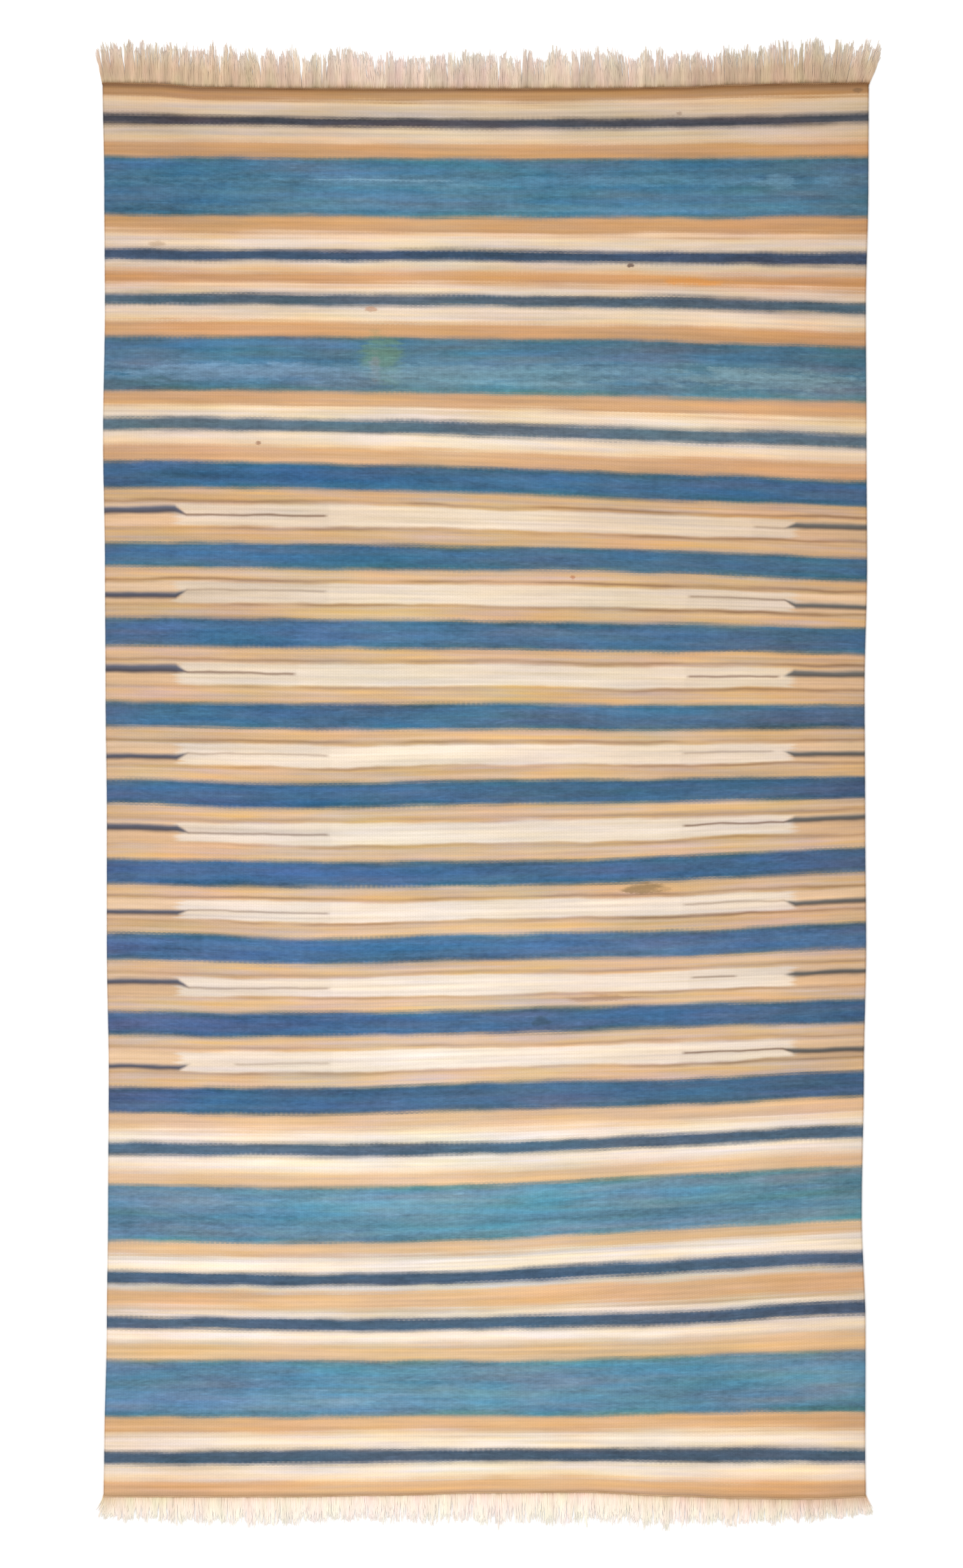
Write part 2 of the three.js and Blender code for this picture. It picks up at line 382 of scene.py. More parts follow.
# How far the fringe fans out sideways at its corners, across the rug from the left selvedge
TOP_FAN = [(0, -9), (25, -5), (70, 0), (1060, 0), (1120, 4), (1165, 12), (1196, 21)]
BOTTOM_FAN = [(0, -8), (12, -5), (35, -1.5), (70, 0), (1125, 0), (1165, 3), (1196, 11)]

# The pitch at which a strand's own twist shows, in millimetres
YARN_TWIST = 1.9

# How brightly the light in this scene shows a colour
LIGHT_GAIN = 1.22

# How soft the edges of the bands are and how far the indigo rubs off, in millimetres
BAND_SOFTNESS = 5.5
RUBBED_SOFTNESS = 8.0

# Screen colours beside the indigo bands, within the bars, where a dark line has an upper and a lower
# tone, and at the tips of the cut warps
RUBBED_BROWN = (146, 134, 116)
OUTLINE_BROWN = (152, 115, 84)
THIN_LINE_BROWN = (132, 100, 80)
BAR_END_UPPER = (224, 187, 150)
BAR_END_LOWER = (232, 198, 163)
LEFT_LINE = ((108, 112, 128), (80, 76, 84))
RIGHT_LINE = ((118, 118, 116), (94, 88, 84))
TIP_PALE = (252, 246, 238)
WHITE = (1.0, 1.0, 1.0, 1.0)

random.seed(11)


# Measures and places

low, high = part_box("woven_cloth")
MIDDLE = ((low[0] + high[0]) / 2, (low[1] + high[1]) / 2)


def follow(rows, at, column):
    """A column's value at a place between two rows, blended smoothly."""
    after = 1
    while after < len(rows) - 1 and rows[after][0] < at:
        after += 1
    before = rows[after - 1]
    share = min(1, max(0, (at - before[0]) / (rows[after][0] - before[0])))
    share = share * share * (3 - 2 * share)
    return before[column] + (rows[after][column] - before[column]) * share


def left_edge(along):
    return -CLOTH_WIDTH / 2 - follow(SELVEDGES, along, 1)


def right_edge(along):
    return CLOTH_WIDTH / 2 + follow(SELVEDGES, along, 2)


def top_end(across):
    return CLOTH_LENGTH / 2 + follow(ENDS, across, 1)


def bottom_end(across):
    return -CLOTH_LENGTH / 2 - follow(ENDS, across, 2)


def course(stops, at):
    """A value at a place on the smooth line through these stops."""
    after = 1
    while after < len(stops) - 1 and stops[after][0] < at:
        after += 1
    (start, start_value), (stop, stop_value) = stops[after - 1], stops[after]
    length = stop - start

    def slope(number):
        one, other = stops[max(0, number - 1)], stops[min(len(stops) - 1, number + 1)]
        return (other[1] - one[1]) / (other[0] - one[0]) * length

    share = (at - start) / length
    rise = share * share * (3 - 2 * share)
    value = start_value + (stop_value - start_value) * rise
    value += slope(after - 1) * share * (1 - share) ** 2
    return value - slope(after) * share * share * (1 - share)


@functools.cache
def bow_down(across):
    """How far each weft lies below its left end at a place across, for shares of the way down."""
    stops = [(0.0, top_end(0) - top_end(across))]
    for at, drops in BOW:
        stops.append((at / WEFT_LENGTH, course(list(zip(BOW_AT, drops)), across)))
    return stops + [(1.0, bottom_end(0) - bottom_end(across))]


def weft_height(across, down):
    """Y of the weft that leaves the left selvedge a share of the way down the rug."""
    left = top_end(0) + (bottom_end(0) - top_end(0)) * down
    return left - course(bow_down(across), down)


def ripple(x, y):
    """Height in millimetres by which the slack cloth lifts off the floor."""
    waves = math.sin(x / 190 + 0.6 * math.sin(y / 310)) * math.sin(y / 240 + 1.1)
    waves += 0.6 * math.sin(x / 97 - y / 143 + 2.0)
    return 0.55 * max(0.0, 1 + 0.7 * waves)


def place(x, y, z):
    """A point of the cloth's own frame, in millimetres, in the rug's frame in metres."""
    return (MIDDLE[0] + x * MM, MIDDLE[1] + y * MM, z * MM)


# Node trees


def add(tree, kind, inputs=None, output=0, **settings):
    """Adds a node, sets it and joins its inputs, and gives one of its outputs."""
    node = tree.nodes.new(kind)
    for name, value in settings.items():
        setattr(node, name, value)
    for key, value in (inputs or {}).items():
        socket = node.inputs[key]
        if isinstance(value, bpy.types.NodeSocket):
            tree.links.new(value, socket)
        else:
            socket.default_value = value
    return node.outputs[output] if node.outputs else None


def calc(tree, operation, a, b=0.0, c=0.0, clamp=False):
    inputs = {0: a, 1: b, 2: c}
    return add(tree, "ShaderNodeMath", inputs, operation=operation, use_clamp=clamp)


def total(tree, values):
    """The sum of several values."""
    result = values[0]
    for value in values[1:]:
        result = calc(tree, "ADD", result, value)
    return result


def rescale(tree, value, low_in, high_in, low_out=0.0, high_out=1.0, smooth=False):
    inputs = {0: value, 1: low_in, 2: high_in, 3: low_out, 4: high_out}
    kind = "SMOOTHSTEP" if smooth else "LINEAR"
    return add(tree, "ShaderNodeMapRange", inputs, interpolation_type=kind)


def blend(tree, share, a, b, blend_type="MIX"):
    inputs = {0: share, 6: a, 7: b}
    return add(tree, "ShaderNodeMix", inputs, output=2, data_type="RGBA", blend_type=blend_type)


def speckle(tree, x, y, scale_x, scale_y, detail=2.0, seed=0.0):
    """Two-dimensional noise from 0 to 1 whose spots are about scale_x by scale_y."""
    vector = add(tree, "ShaderNodeCombineXYZ", {
        0: calc(tree, "MULTIPLY_ADD", x, 1 / scale_x, seed),
        1: calc(tree, "MULTIPLY_ADD", y, 1 / scale_y, seed * 0.7),
    })
    inputs = {"Vector": vector, "Scale": 1.0, "Detail": detail, "Roughness": 0.55}
    return add(tree, "ShaderNodeTexNoise", inputs, noise_dimensions="2D")


def wavering(tree, x, y, wide, high, amount, detail=2.0, seed=0.0):
    """A value that wanders about 0 by this amount in all, in spots about this wide and high."""
    spots = speckle(tree, x, y, wide, high, detail, seed)
    return calc(tree, "MULTIPLY_ADD", spots, amount, -amount / 2)


def tinted(tree, colour, tint):
    """A colour whose red, green and blue are multiplied by the tint's."""
    return blend(tree, 1.0, colour, tint, "MULTIPLY")


def scaled(tree, colour, value):
    """A colour made lighter or darker by a value."""
    return tinted(tree, colour, add(tree, "ShaderNodeCombineXYZ", {0: value, 1: value, 2: value}))


def in_millimetres(tree, vector):
    """The x and the y of a vector that is in metres."""
    parts = tree.nodes.new("ShaderNodeSeparateXYZ")
    tree.links.new(vector, parts.inputs[0])
    return [calc(tree, "MULTIPLY", parts.outputs[i], PER_METRE) for i in (0, 1)]


def ramp_at(tree, place, stops, interpolation="LINEAR"):
    """The colour at a place from 0 to 1 on a ramp through these stops."""
    node = tree.nodes.new("ShaderNodeValToRGB")
    ramp = node.color_ramp
    ramp.interpolation = interpolation
    while len(ramp.elements) < len(stops):
        ramp.elements.new(1.0)
    for number, (at, colour) in enumerate(stops):
        ramp.elements[number].position = at
        ramp.elements[number].color = (*colour[:3], 1.0)
    tree.links.new(place, node.inputs[0])
    return node.outputs[0]


def tone(red, green, blue, lit=1.0):
    """A screen colour as the linear colour that the scene's light, or this share of it, shows so."""
    def linear(value):
        value = value / 255
        return value / 12.92 if value <= 0.04045 else ((value + 0.055) / 1.055) ** 2.4
    return tuple(min(1, linear(v) / LIGHT_GAIN / lit) for v in (red, green, blue)) + (1.0,)


def new_finish(name):
    material = bpy.data.materials.new(name)
    material.use_nodes = True
    tree = material.node_tree
    tree.nodes.clear()
    return material, tree


def finish_yarn(tree, colour, height, bump_depth, roughness):
    """Cotton yarn's surface: no gloss to speak of, with relief from height."""
    normal = add(tree, "ShaderNodeBump", {"Strength": 0.6, "Distance": bump_depth, "Height": height})
    shader = add(tree, "ShaderNodeBsdfPrincipled", {
        "Base Color": colour,
        "Roughness": roughness,
        "Normal": normal,
        "Specular IOR Level": 0.2,
        "Sheen Weight": 0.04,
    })
    add(tree, "ShaderNodeOutputMaterial", {"Surface": shader})


# The finish of the wefts


def gap_to(tree, down, rows):
    """How far a weft lies outside the nearest of these bands, or inside it where negative."""
    nearest = None
    for start, stop in rows:
        off_middle = calc(tree, "ABSOLUTE", calc(tree, "SUBTRACT", down, (start + stop) / 2))
        gap = calc(tree, "SUBTRACT", off_middle, (stop - start) / 2)
        nearest = gap if nearest is None else calc(tree, "MINIMUM", nearest, gap)
    return nearest


def within(tree, gap, softness):
    """1 inside a band and 0 outside it, with an edge this soft, in millimetres."""
    return rescale(tree, gap, softness, -softness, smooth=True)


def ramp_of(tree, place, length, stops):
    """A colour that changes steadily between stops along a length in millimetres."""
    share = calc(tree, "DIVIDE", place, length)
    return ramp_at(tree, share, [(at / length, colour) for at, colour in stops])


# A weft colour that changes down the rug through these stops, darker towards the top
def tones_down_rug(tree, along, tones):
    return ramp_of(tree, along, WEFT_LENGTH, [(at, tone(*colour)) for at, colour in tones])


def chart(tree, index, rows, columns, scales):
    """Three columns of a table for the row that index names, each carried as a share of its scale."""
    place = calc(tree, "MULTIPLY_ADD", index, 1 / len(rows), 0.5 / len(rows))
    stops = []
    for number, row in enumerate(rows):
        stops.append((number / len(rows), [row[c] / s for c, s in zip(columns, scales)]))
    parts = tree.nodes.new("ShaderNodeSeparateColor")
    tree.links.new(ramp_at(tree, place, stops, "CONSTANT"), parts.inputs[0])
    return [calc(tree, "MULTIPLY", parts.outputs[i], scale) for i, scale in enumerate(scales)]


def border_ground(tree, along, orange_gap, navy_gap):
    """Undyed wefts of the two borders, warmed by the orange bands and greyed by the navy lines."""
    cream = tones_down_rug(tree, along, CREAM_TONES)
    peach = tones_down_rug(tree, along, PEACH_TONES)
    orange = tones_down_rug(tree, along, ORANGE_TONES)
    colour = blend(tree, rescale(tree, orange_gap, 14.0, 2.0, smooth=True), cream, peach)
    near_navy = calc(tree, "MULTIPLY", rescale(tree, navy_gap, 9.0, 0.0), 0.4)
    colour = blend(tree, near_navy, colour, scaled(tree, cream, 0.8))
    colour = blend(tree, rescale(tree, orange_gap, 5.0, -6.0, smooth=True), colour, orange)
    colour = blend(tree, rescale(tree, along, 8.0, 1.0, smooth=True), colour, tone(*TOP_END_BROWN))
    bottom = rescale(tree, along, WEFT_LENGTH - 8.0, WEFT_LENGTH - 2.0, smooth=True)
    return blend(tree, bottom, colour, tone(*BOTTOM_END_BROWN))


def line_in_bar(tree, inward, share, row, bar_height):
    """The dark line at a bar's end and the thin line that it steps over to."""
    end_at, thin_at, half = chart(tree, row, BAR_LINES, (0, 1, 2), (1.0, 1.0, 10.0))
    thin_from, thin_to, thin_strength = chart(tree, row, BAR_LINES, (3, 4, 5), (400.0, 400.0, 1.0))
    step = rescale(tree, inward, LINE_RUNS_IN, LINE_RUNS_IN + 18)
    line_at = add(tree, "ShaderNodeMix", {0: step, 2: end_at, 3: thin_at})
    from_line = calc(tree, "MULTIPLY", calc(tree, "SUBTRACT", share, line_at), bar_height)
    off_line = calc(tree, "ABSOLUTE", from_line)
    thickness = add(tree, "ShaderNodeMix", {0: step, 2: half, 3: 0.0})
    thick = within(tree, calc(tree, "SUBTRACT", off_line, thickness), 4.0)
    runs_out = rescale(tree, inward, LINE_RUNS_IN + 22, LINE_RUNS_IN + 10)
    thick = calc(tree, "MULTIPLY", thick, runs_out)
    thin = within(tree, calc(tree, "SUBTRACT", off_line, 1.7), 2.0)
    starts = rescale(tree, inward, thin_from, calc(tree, "ADD", thin_from, 8.0))
    stops = rescale(tree, inward, thin_to, calc(tree, "SUBTRACT", thin_to, 8.0))
    for run in (starts, stops, thin_strength):
        thin = calc(tree, "MULTIPLY", thin, run)
    return from_line, thick, thin, thin_to


def bar_ground(tree, across, along, steady, hue):
    """Wefts between the blue bands: orange strips, a cream bar and the dark lines at its ends."""
    gaps = [(a[1], b[0]) for a, b in zip(BLUE_BANDS, BLUE_BANDS[1:])]
    place_in_bars = total(tree, [rescale(tree, steady, a, b) for a, b in gaps])
    bar = calc(tree, "MINIMUM", calc(tree, "FLOOR", place_in_bars), len(gaps) - 1.0)
    share = calc(tree, "FRACT", place_in_bars)
    bar_height = sum(b - a for a, b in gaps) / len(gaps)
    right_half = calc(tree, "GREATER_THAN", across, CLOTH_WIDTH / 2)
    inward = calc(tree, "MINIMUM", across, calc(tree, "SUBTRACT", float(CLOTH_WIDTH), across))
    row = calc(tree, "MULTIPLY_ADD", right_half, float(len(gaps)), bar)
    from_line, thick_line, thin_line, thin_to = line_in_bar(tree, inward, share, row, bar_height)
    lower_half = within(tree, calc(tree, "MULTIPLY", from_line, -1.0), 2.0)

    # Each boundary of the cream part steps a little up and down
    steps = wavering(tree, across, along, 240, 60, 8.0, 1.5, 20.0)
    middle = (CREAM_FROM + CREAM_TO) / 2
    off_middle = calc(tree, "ABSOLUTE", calc(tree, "SUBTRACT", share, middle))
    cream_half = bar_height * (CREAM_TO - CREAM_FROM) / 2
    cream_gap = calc(tree, "MULTIPLY_ADD", off_middle, bar_height, -cream_half)
    cream_gap = calc(tree, "ADD", cream_gap, steps)
    in_cream = within(tree, cream_gap, 2.6)

    # The brown line along each boundary comes and goes
    upper = calc(tree, "LESS_THAN", share, middle)
    line_off = calc(tree, "MULTIPLY_ADD", upper, 2.0, 3.4)
    off_outline = calc(tree, "ABSOLUTE", calc(tree, "SUBTRACT", cream_gap, line_off))
    outline = within(tree, calc(tree, "SUBTRACT", off_outline, 2.0), 3.4)
    above, below, to_right = chart(tree, bar, BAR_OUTLINES, (0, 1, 2), (1.0, 1.0, 1.0))
    strength = add(tree, "ShaderNodeMix", {0: upper, 2: below, 3: above})
    breaks = speckle(tree, across, calc(tree, "MULTIPLY", share, 40.0), 130, 30, 1.0, 2.0)
    strength = calc(tree, "MULTIPLY", strength, rescale(tree, breaks, 0.34, 0.64, 0.55, 1.3))
    rightwards = rescale(tree, across, 700.0, CLOTH_WIDTH - 150.0)
    strength = calc(tree, "MULTIPLY_ADD", rightwards, to_right, strength)
    outline = calc(tree, "MULTIPLY", outline, strength, clamp=True)

    # The orange strips show the change of hue twice as strongly, and the cream part half as strongly
    strips = tones_down_rug(tree, along, STRIP_TONES)
    strips = tinted(tree, tinted(tree, strips, hue), hue)
    cream = tones_down_rug(tree, along, BAR_CREAM_TONES)
    comb = wavering(tree, across, along, 90, 5.0, 34.0, 1.0, 33.0)
    combed = calc(tree, "ADD", inward, comb)
    inside = rescale(tree, combed, LINE_RUNS_IN - 8, LINE_RUNS_IN + 12, smooth=True)
    thin_end = calc(tree, "ADD", thin_to, 4.0)
    far_in = rescale(tree, inward, calc(tree, "SUBTRACT", thin_to, 2.0), thin_end, 0.955, 1.0)
    outer = blend(tree, lower_half, tone(*BAR_END_LOWER), tone(*BAR_END_UPPER))
    ground = blend(tree, inside, outer, scaled(tree, cream, far_in))
    ground = tinted(tree, ground, blend(tree, 0.5, hue, WHITE))
    ground = blend(tree, in_cream, strips, ground)
    ground = blend(tree, outline, ground, tone(*OUTLINE_BROWN))
    ground = blend(tree, calc(tree, "MULTIPLY", thin_line, 0.85), ground, tone(*THIN_LINE_BROWN))
    line_top = blend(tree, right_half, tone(*LEFT_LINE[0]), tone(*RIGHT_LINE[0]))
    line_foot = blend(tree, right_half, tone(*LEFT_LINE[1]), tone(*RIGHT_LINE[1]))
    line_tone = blend(tree, rescale(tree, from_line, -4.0, 3.0), line_top, line_foot)
    return blend(tree, thick_line, ground, line_tone)


def uneven_dye(tree, across, along, dye):
    """How much lighter or darker the dye took here, about 1."""
    parts = [1.0]
    for wide, high, detail, seed, *strengths in UNEVENNESS:
        parts.append(wavering(tree, across, along, wide, high, strengths[dye], detail, seed))
    return total(tree, parts)


def uneven_hue(tree, across, along, hues):
    """The product of several slow changes of hue, as shares of red, green and blue."""
    product = None
    for wide, high, seed, one_end, other_end in hues:
        patches = rescale(tree, speckle(tree, across, along, wide, high, 2.0, seed), 0.28, 0.72)
        change = blend(tree, patches, (*one_end, 1.0), (*other_end, 1.0))
        product = change if product is None else tinted(tree, product, change)
    return product


def with_marks(tree, colour, across, along):
    """Adds the stains, specks and rubbed places, each a ragged oval."""
    ragged = wavering(tree, across, along, 40, 7.0, 1.8, 3.0, 41.0)
    for at_across, at_along, half_wide, half_high, strength, shade in MARKS:
        offset = add(tree, "ShaderNodeCombineXYZ", {
            0: calc(tree, "MULTIPLY_ADD", across, 1 / half_wide, -at_across / half_wide),
            1: calc(tree, "MULTIPLY_ADD", along, 1 / half_high, -at_along / half_high),
        })
        distance = add(tree, "ShaderNodeVectorMath", {0: offset}, output=1, operation="LENGTH")
        distance = calc(tree, "ADD", distance, ragged)
        cover = rescale(tree, distance, 1.25, 0.5, 0.0, strength, smooth=True)
        colour = blend(tree, cover, colour, tone(*shade))
    return colour


def banded(tree, along, tints, tones, hue):
    """One indigo dye: its lots along the rug, its tint across it and its changes of hue."""
    colour = tones_down_rug(tree, along, tones)
    if tints is not None:
        colour = tinted(tree, colour, tints)
    return tinted(tree, colour, hue)


def weft_finish():
    material, tree = new_finish("dhurrie_wefts")
    across, along = in_millimetres(tree, add(tree, "ShaderNodeUVMap", uv_map="weave"))

    # Each weft shows as a bead on every second warp
    rib = calc(tree, "DIVIDE", across, WARP_PITCH)
    odd = calc(tree, "MODULO", calc(tree, "FLOOR", rib), 2.0)
    half_bead = calc(tree, "MULTIPLY", odd, 0.5)
    rib_share = calc(tree, "FRACT", rib)
    bead = calc(tree, "ADD", calc(tree, "DIVIDE", along, BEAD_LENGTH), half_bead)
    bead_share = calc(tree, "FRACT", bead)
    whole = calc(tree, "SUBTRACT", calc(tree, "FLOOR", bead), half_bead)
    weft = calc(tree, "MULTIPLY_ADD", whole, BEAD_LENGTH, BEAD_LENGTH / 2)
    weft = add(tree, "ShaderNodeMix", {0: 0.5, 2: weft, 3: along})

    # Wefts were beaten down unevenly, so a band's edge wanders
    wander = wavering(tree, across, along, 230, 90, 7.6)
    jitter = wavering(tree, across, along, 60, 22, 3.5, seed=3.0)
    loose = wavering(tree, across, weft, 210, 2.2, 5.0, 1.0, 51.0)
    steady = total(tree, [along, wander, jitter])
    down = total(tree, [weft, wander, jitter, loose])

    # Orange rubbed off along single wefts, so its bands fade out unevenly
    bleeding = wavering(tree, across, along, 420, 6.0, 12.0, 2.0, 7.0)
    orange_gap = gap_to(tree, calc(tree, "ADD", bleeding, down), ORANGE_BANDS)
    navy_gap = gap_to(tree, down, NAVY_BANDS)
    sky_gap = gap_to(tree, down, SKY_BANDS)
    blue_gap = gap_to(tree, down, BLUE_BANDS)
    first_blue, last_blue = BLUE_BANDS[0][0], BLUE_BANDS[-1][1]
    in_bars = gap_to(tree, steady, [(first_blue + 10, last_blue - 10)])

    pale_hue = uneven_hue(tree, across, along, PALE_HUES)
    ground = tinted(tree, border_ground(tree, along, orange_gap, navy_gap), pale_hue)
    bars = bar_ground(tree, across, along, steady, pale_hue)
    ground = blend(tree, calc(tree, "LESS_THAN", in_bars, 0.0), ground, bars)
    ground = tinted(tree, ground, ramp_of(tree, across, CLOTH_WIDTH, GROUND_TINTS))

    # Indigo took deeper at the rims of its bands and rubbed off on the wefts beside them
    hue = uneven_hue(tree, across, along, INDIGO_HUES)
    broad_gap = calc(tree, "MINIMUM", sky_gap, blue_gap)
    rubbed = calc(tree, "MULTIPLY", within(tree, broad_gap, RUBBED_SOFTNESS), 0.6)
    colour = blend(tree, rubbed, ground, tone(*RUBBED_BROWN))
    for gap, tints, tones in ((sky_gap, SKY_TINTS, SKY_TONES), (blue_gap, BLUE_TINTS, BLUE_TONES)):
        band = banded(tree, along, ramp_of(tree, across, CLOTH_WIDTH, tints), tones, hue)
        colour = blend(tree, within(tree, gap, BAND_SOFTNESS), colour, band)
    patchy = rescale(tree, speckle(tree, across, along, 160, 30, 2.0, 37.0), 0.35, 0.65, 0.25, 1.0)
    rim = calc(tree, "MULTIPLY", rescale(tree, broad_gap, -11.0, -4.0, smooth=True), patchy)
    rim = calc(tree, "MULTIPLY", rim, rescale(tree, broad_gap, 3.0, 0.0))
    colour = blend(tree, rim, colour, tinted(tree, colour, (0.82, 0.92, 0.78, 1.0)))
    navy = banded(tree, along, None, NAVY_TONES, blend(tree, 0.5, hue, WHITE))
    colour = blend(tree, within(tree, navy_gap, BAND_SOFTNESS), colour, navy)

    deepest = calc(tree, "MINIMUM", broad_gap, navy_gap)
    indigo = within(tree, deepest, 3.0)
    pale_change = uneven_dye(tree, across, along, PALE)
    indigo_change = uneven_dye(tree, across, along, INDIGO)
    from_one = calc(tree, "SUBTRACT", indigo_change, 1.0)
    slub = rescale(tree, speckle(tree, across, along, 36, 3.4, 1.0, 15.0), 0.62, 0.78, 0.99, 1.18)
    indigo_change = calc(tree, "ADD", from_one, slub)
    change = add(tree, "ShaderNodeMix", {0: indigo, 2: pale_change, 3: indigo_change})
    colour = with_marks(tree, colour, across, down)

    # Grooves between ribs and between beads hold a little shade
    rib_round = calc(tree, "SINE", calc(tree, "MULTIPLY", rib_share, math.pi))
    bead_round = calc(tree, "SINE", calc(tree, "MULTIPLY", bead_share, math.pi))
    rounds = [calc(tree, "POWER", part, 0.5) for part in (rib_round, bead_round)]
    height = calc(tree, "MULTIPLY", *rounds)
    shade = calc(tree, "MULTIPLY_ADD", height, 0.10, 0.93)
    colour = scaled(tree, colour, calc(tree, "MULTIPLY", change, shade))
    roughness = rescale(tree, speckle(tree, across, along, 11, 2.6, 2.0, 5.0), 0.3, 0.7, 0.88, 0.96)
    finish_yarn(tree, colour, height, 0.45 * MM, roughness)
    return material


def warp_finish(name, stain, roots, lengths, pales_from, paling, lit, contrast):
    """Cut warp ends: undyed cotton, darker at its roots, that pales towards its frayed tips."""
    material, tree = new_finish(name)
    along = add(tree, "ShaderNodeAttribute", output="Fac", attribute_name="yarn_share")
    x, y = in_millimetres(tree, add(tree, "ShaderNodeTexCoord", output="Object"))
    across = calc(tree, "ADD", x, CLOTH_WIDTH / 2 - MIDDLE[0] / MM)
    root, length = [
        ramp_of(tree, across, CLOTH_WIDTH, [(at, tone(*shade, lit=lit)) for at, shade in shades])
        for shades in (roots, lengths)
    ]
    colour = blend(tree, rescale(tree, along, 0.08, 0.3), root, length)
    colour = blend(tree, rescale(tree, along, 0.05, 0.17), tone(*stain, lit=lit), colour)
    paler = rescale(tree, along, pales_from, 0.95, 0.0, paling)
    colour = blend(tree, paler, colour, tone(*TIP_PALE, lit=lit))
    clump_hue = rescale(tree, speckle(tree, x, y, 26, 60, 2.0, 12.0), 0.3, 0.7)
    clump_tint = blend(tree, clump_hue, (1.03, 0.97, 1.0, 1.0), (0.98, 1.015, 0.95, 1.0))
    colour = tinted(tree, colour, clump_tint)
    clump = calc(tree, "SUBTRACT", speckle(tree, x, y, 13, 120, 2.0, 2.0), 0.5)
    thread = calc(tree, "SUBTRACT", speckle(tree, x, y, 1.6, 18, 1.0, 6.0), 0.5)
    clump_value = calc(tree, "MULTIPLY", clump, 0.75 * contrast)
    thread_value = calc(tree, "MULTIPLY", thread, 0.2 * contrast)
    value = total(tree, [clump_value, thread_value, 1.0])
    colour = scaled(tree, colour, value)
    slant = calc(tree, "MULTIPLY", calc(tree, "ADD", y, x), 2 * math.pi / YARN_TWIST)
    twist = calc(tree, "SINE", slant)
    finish_yarn(tree, colour, twist, 0.12 * MM, 0.92)
    return material


def cord_finish(name, dark, pale):
    """Twined end cord: brown cotton, rubbed paler in places."""
    material, tree = new_finish(name)
    x, y = in_millimetres(tree, add(tree, "ShaderNodeTexCoord", output="Object"))
    worn = rescale(tree, speckle(tree, x, y, 70, 20, 3.0, 8.0), 0.35, 0.65)
    colour = blend(tree, worn, dark, pale)
    thread = calc(tree, "MULTIPLY_ADD", speckle(tree, x, y, 1.1, 1.1, 1.0, 3.0), 0.4, 0.8)
    colour = scaled(tree, colour, thread)
    finish_yarn(tree, colour, speckle(tree, x, y, 0.7, 0.7, 1.0, 1.0), 0.2 * MM, 0.9)
    return material


WEFTS = weft_finish()
TOP_WARPS = warp_finish(
    "warp_ends_top", (160, 128, 96), TOP_ROOTS, TOP_LENGTHS,
    pales_from=0.5, paling=0.35, lit=0.95, contrast=1.0,
)
BOTTOM_WARPS = warp_finish(
    "warp_ends_bottom", (206, 175, 140), BOTTOM_ROOTS, BOTTOM_LENGTHS,
    pales_from=0.25, paling=0.75, lit=0.87, contrast=0.45,
)
TOP_CORD = cord_finish("end_cord_brown", tone(138, 98, 63), tone(166, 127, 90))
BOTTOM_CORD = cord_finish("end_cord_faded", tone(200, 162, 122), tone(220, 184, 146))


# Making meshes


def mesh_of(name, points, faces=(), edges=()):
    mesh = bpy.data.meshes.new(name)
    mesh.from_pydata(points, edges, faces)
    mesh.update()
    return mesh


def faces_of(mesh):
    """For each corner its point and its face, and for each face its first corner."""
    points = np.zeros(len(mesh.loops), np.int32)
    mesh.loops.foreach_get("vertex_index", points)
    first = np.zeros(len(mesh.polygons), np.int32)
    mesh.polygons.foreach_get("loop_start", first)
    face = np.repeat(np.arange(len(first)), np.diff(np.append(first, len(points))))
    return points, face, first


def add_map(mesh, name, u, v):
    layer = mesh.uv_layers.new(name=name)
    layer.data.foreach_set("uv", np.column_stack((u, v)).astype(np.float32).ravel())


def bake_map_of_yarns(mesh, sides, rings, segments, columns):
    """The map that an export paints: each stretch of so many segments of a yarn in its own cell.

    Its side fills most of the cell, and its two caps are small ovals at the right.
    """
    points, face, first = faces_of(mesh)
    ring, side = points // sides % rings, points % sides
    low_ring = np.minimum.reduceat(ring, first)[face]
    capping = low_ring == np.maximum.reduceat(ring, first)[face]
    reach_round = np.maximum.reduceat(side, first) - np.minimum.reduceat(side, first)
    closing = (reach_round[face] == sides - 1) & (side == 0)
    stretch = np.minimum(low_ring, rings - 2) // segments
    cell = points // (sides * rings) * math.ceil((rings - 1) / segments) + stretch
    along = (ring - stretch * segments) / segments
    turn = np.where(closing, sides, side) / sides
    angle = 2 * math.pi * side / sides
    cap_at = np.where(low_ring > 0, 0.74, 0.26)
    u = np.where(capping, 0.94 + 0.03 * np.cos(angle), 0.03 + 0.86 * along)
    v = np.where(capping, cap_at + 0.18 * np.sin(angle), 0.05 + 0.9 * turn)
    cell_rows = math.ceil((cell.max() + 1) / columns)
    add_map(mesh, "OFBake", (cell % columns + u) / columns, (cell // columns + v) / cell_rows)


